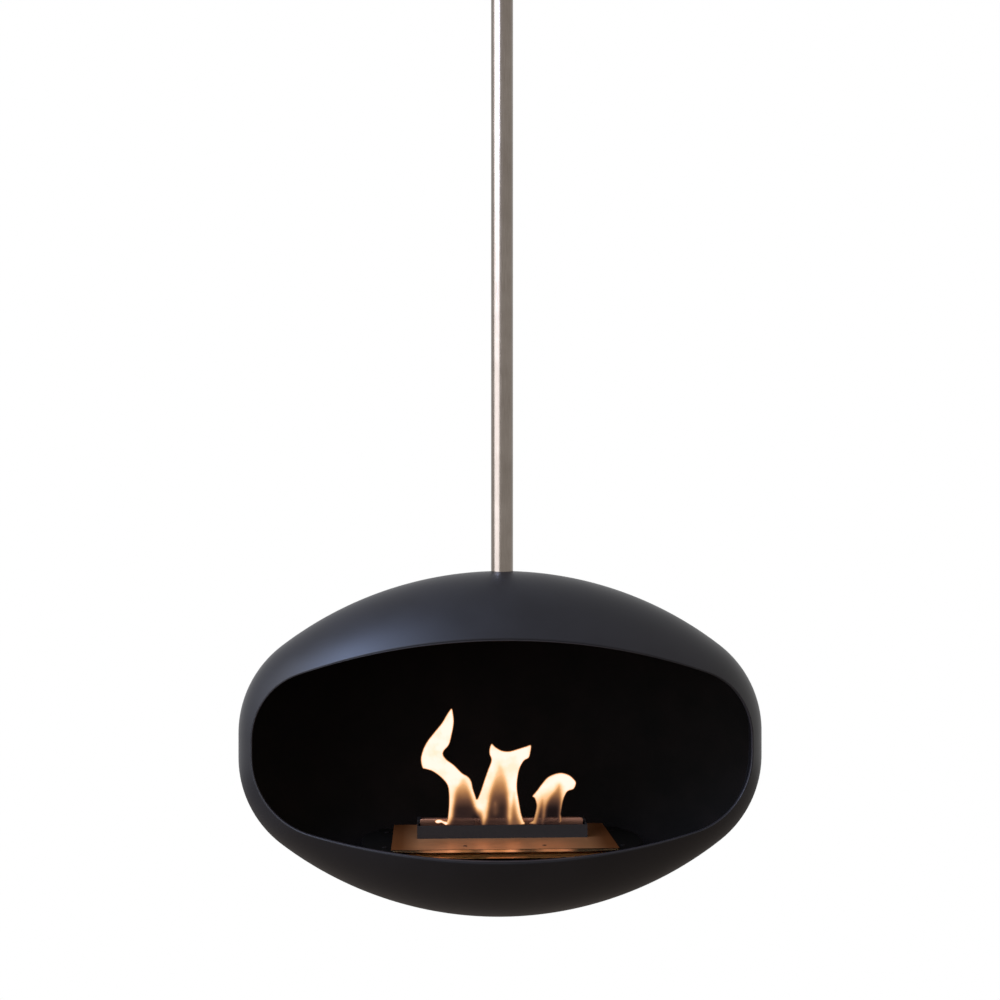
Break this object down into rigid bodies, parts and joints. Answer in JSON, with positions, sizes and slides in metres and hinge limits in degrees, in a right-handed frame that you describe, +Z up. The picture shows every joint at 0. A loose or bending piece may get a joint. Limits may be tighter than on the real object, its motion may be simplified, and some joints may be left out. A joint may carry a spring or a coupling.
{
  "type": "hanging fireplace",
  "caption": "Shallow oval pod with a wide front mouth, hung from the ceiling on a swivelling pole, with a lift-out ethanol burner and a sliding damper.",
  "frame": {"origin": "middle of the ceiling plate's top face, where it meets the ceiling", "axes": "+Z up, -Y the front, where the mouth is, +X to the right seen from the front"},
  "size_m": [0.9, 0.3474, 1.683],
  "materials": {
    "brushed_stainless": "brushed along its length",
    "black_coat": "satin powder coat",
    "hearth_black": "glossy heatproof paint",
    "burner_black": "satin heatproof paint",
    "satin_steel": "satin, warm toned by heat",
    "dark_screw": "blackened",
    "zinc_steel": "zinc plated",
    "bearing_steel": "ground",
    "brass_cage": "turned",
    "plastic_bush": "natural",
    "silicone_foot": "matte",
    "ceramic_fibre": "soft felted board"
  },
  "bodies": {
    "ceiling_mount": {"ceiling_plate": "zinc_steel", "bearing_housing": "zinc_steel", "housing_screws": "zinc_steel", "guide_bush": "plastic_bush", "lower_race": "bearing_steel", "ball_cage": "brass_cage", "canopy": "brushed_stainless", "canopy_screws": "zinc_steel"},
    "fireplace": {"upper_race": "bearing_steel", "pole_collar": "zinc_steel", "collar_pin": "bearing_steel", "pole": "brushed_stainless", "pole_flange": "zinc_steel", "flange_bolts": "zinc_steel", "doubler_plate": "black_coat", "mount_posts": "zinc_steel", "front_shell": "black_coat", "rear_shell": "black_coat", "mouth_rim": "black_coat", "front_seam_flange": "black_coat", "rear_seam_flange": "black_coat", "seam_bolts": "zinc_steel", "seam_nuts": "zinc_steel", "heat_shield": "hearth_black", "shield_spacers": "zinc_steel", "shield_screws": "zinc_steel", "hearth_rails": "hearth_black", "hearth_plate": "hearth_black", "hearth_screws": "hearth_black"},
    "burner": {"burner_tray": "satin_steel", "tray_feet": "silicone_foot", "tray_screws": "dark_screw", "burner_box": "burner_black", "fuel_tank": "bearing_steel", "fibre_pad": "ceramic_fibre", "damper_guides": "burner_black"},
    "damper": {"damper": "satin_steel"}
  },
  "joints": [
    {"name": "pole_swivel", "type": "hinge", "parent": "ceiling_mount", "child": "fireplace", "pos_m": [0, 0, -0.055], "axis": [0, 0, 1], "continuous": true},
    {"name": "burner_lift", "type": "slide", "parent": "fireplace", "child": "burner", "axis": [0, 0, 1], "range_m": [0, 0.09]},
    {"name": "damper_slide", "type": "slide", "parent": "burner", "child": "damper", "axis": [0, -1, 0], "range_m": [0, 0.026]}
  ]
}
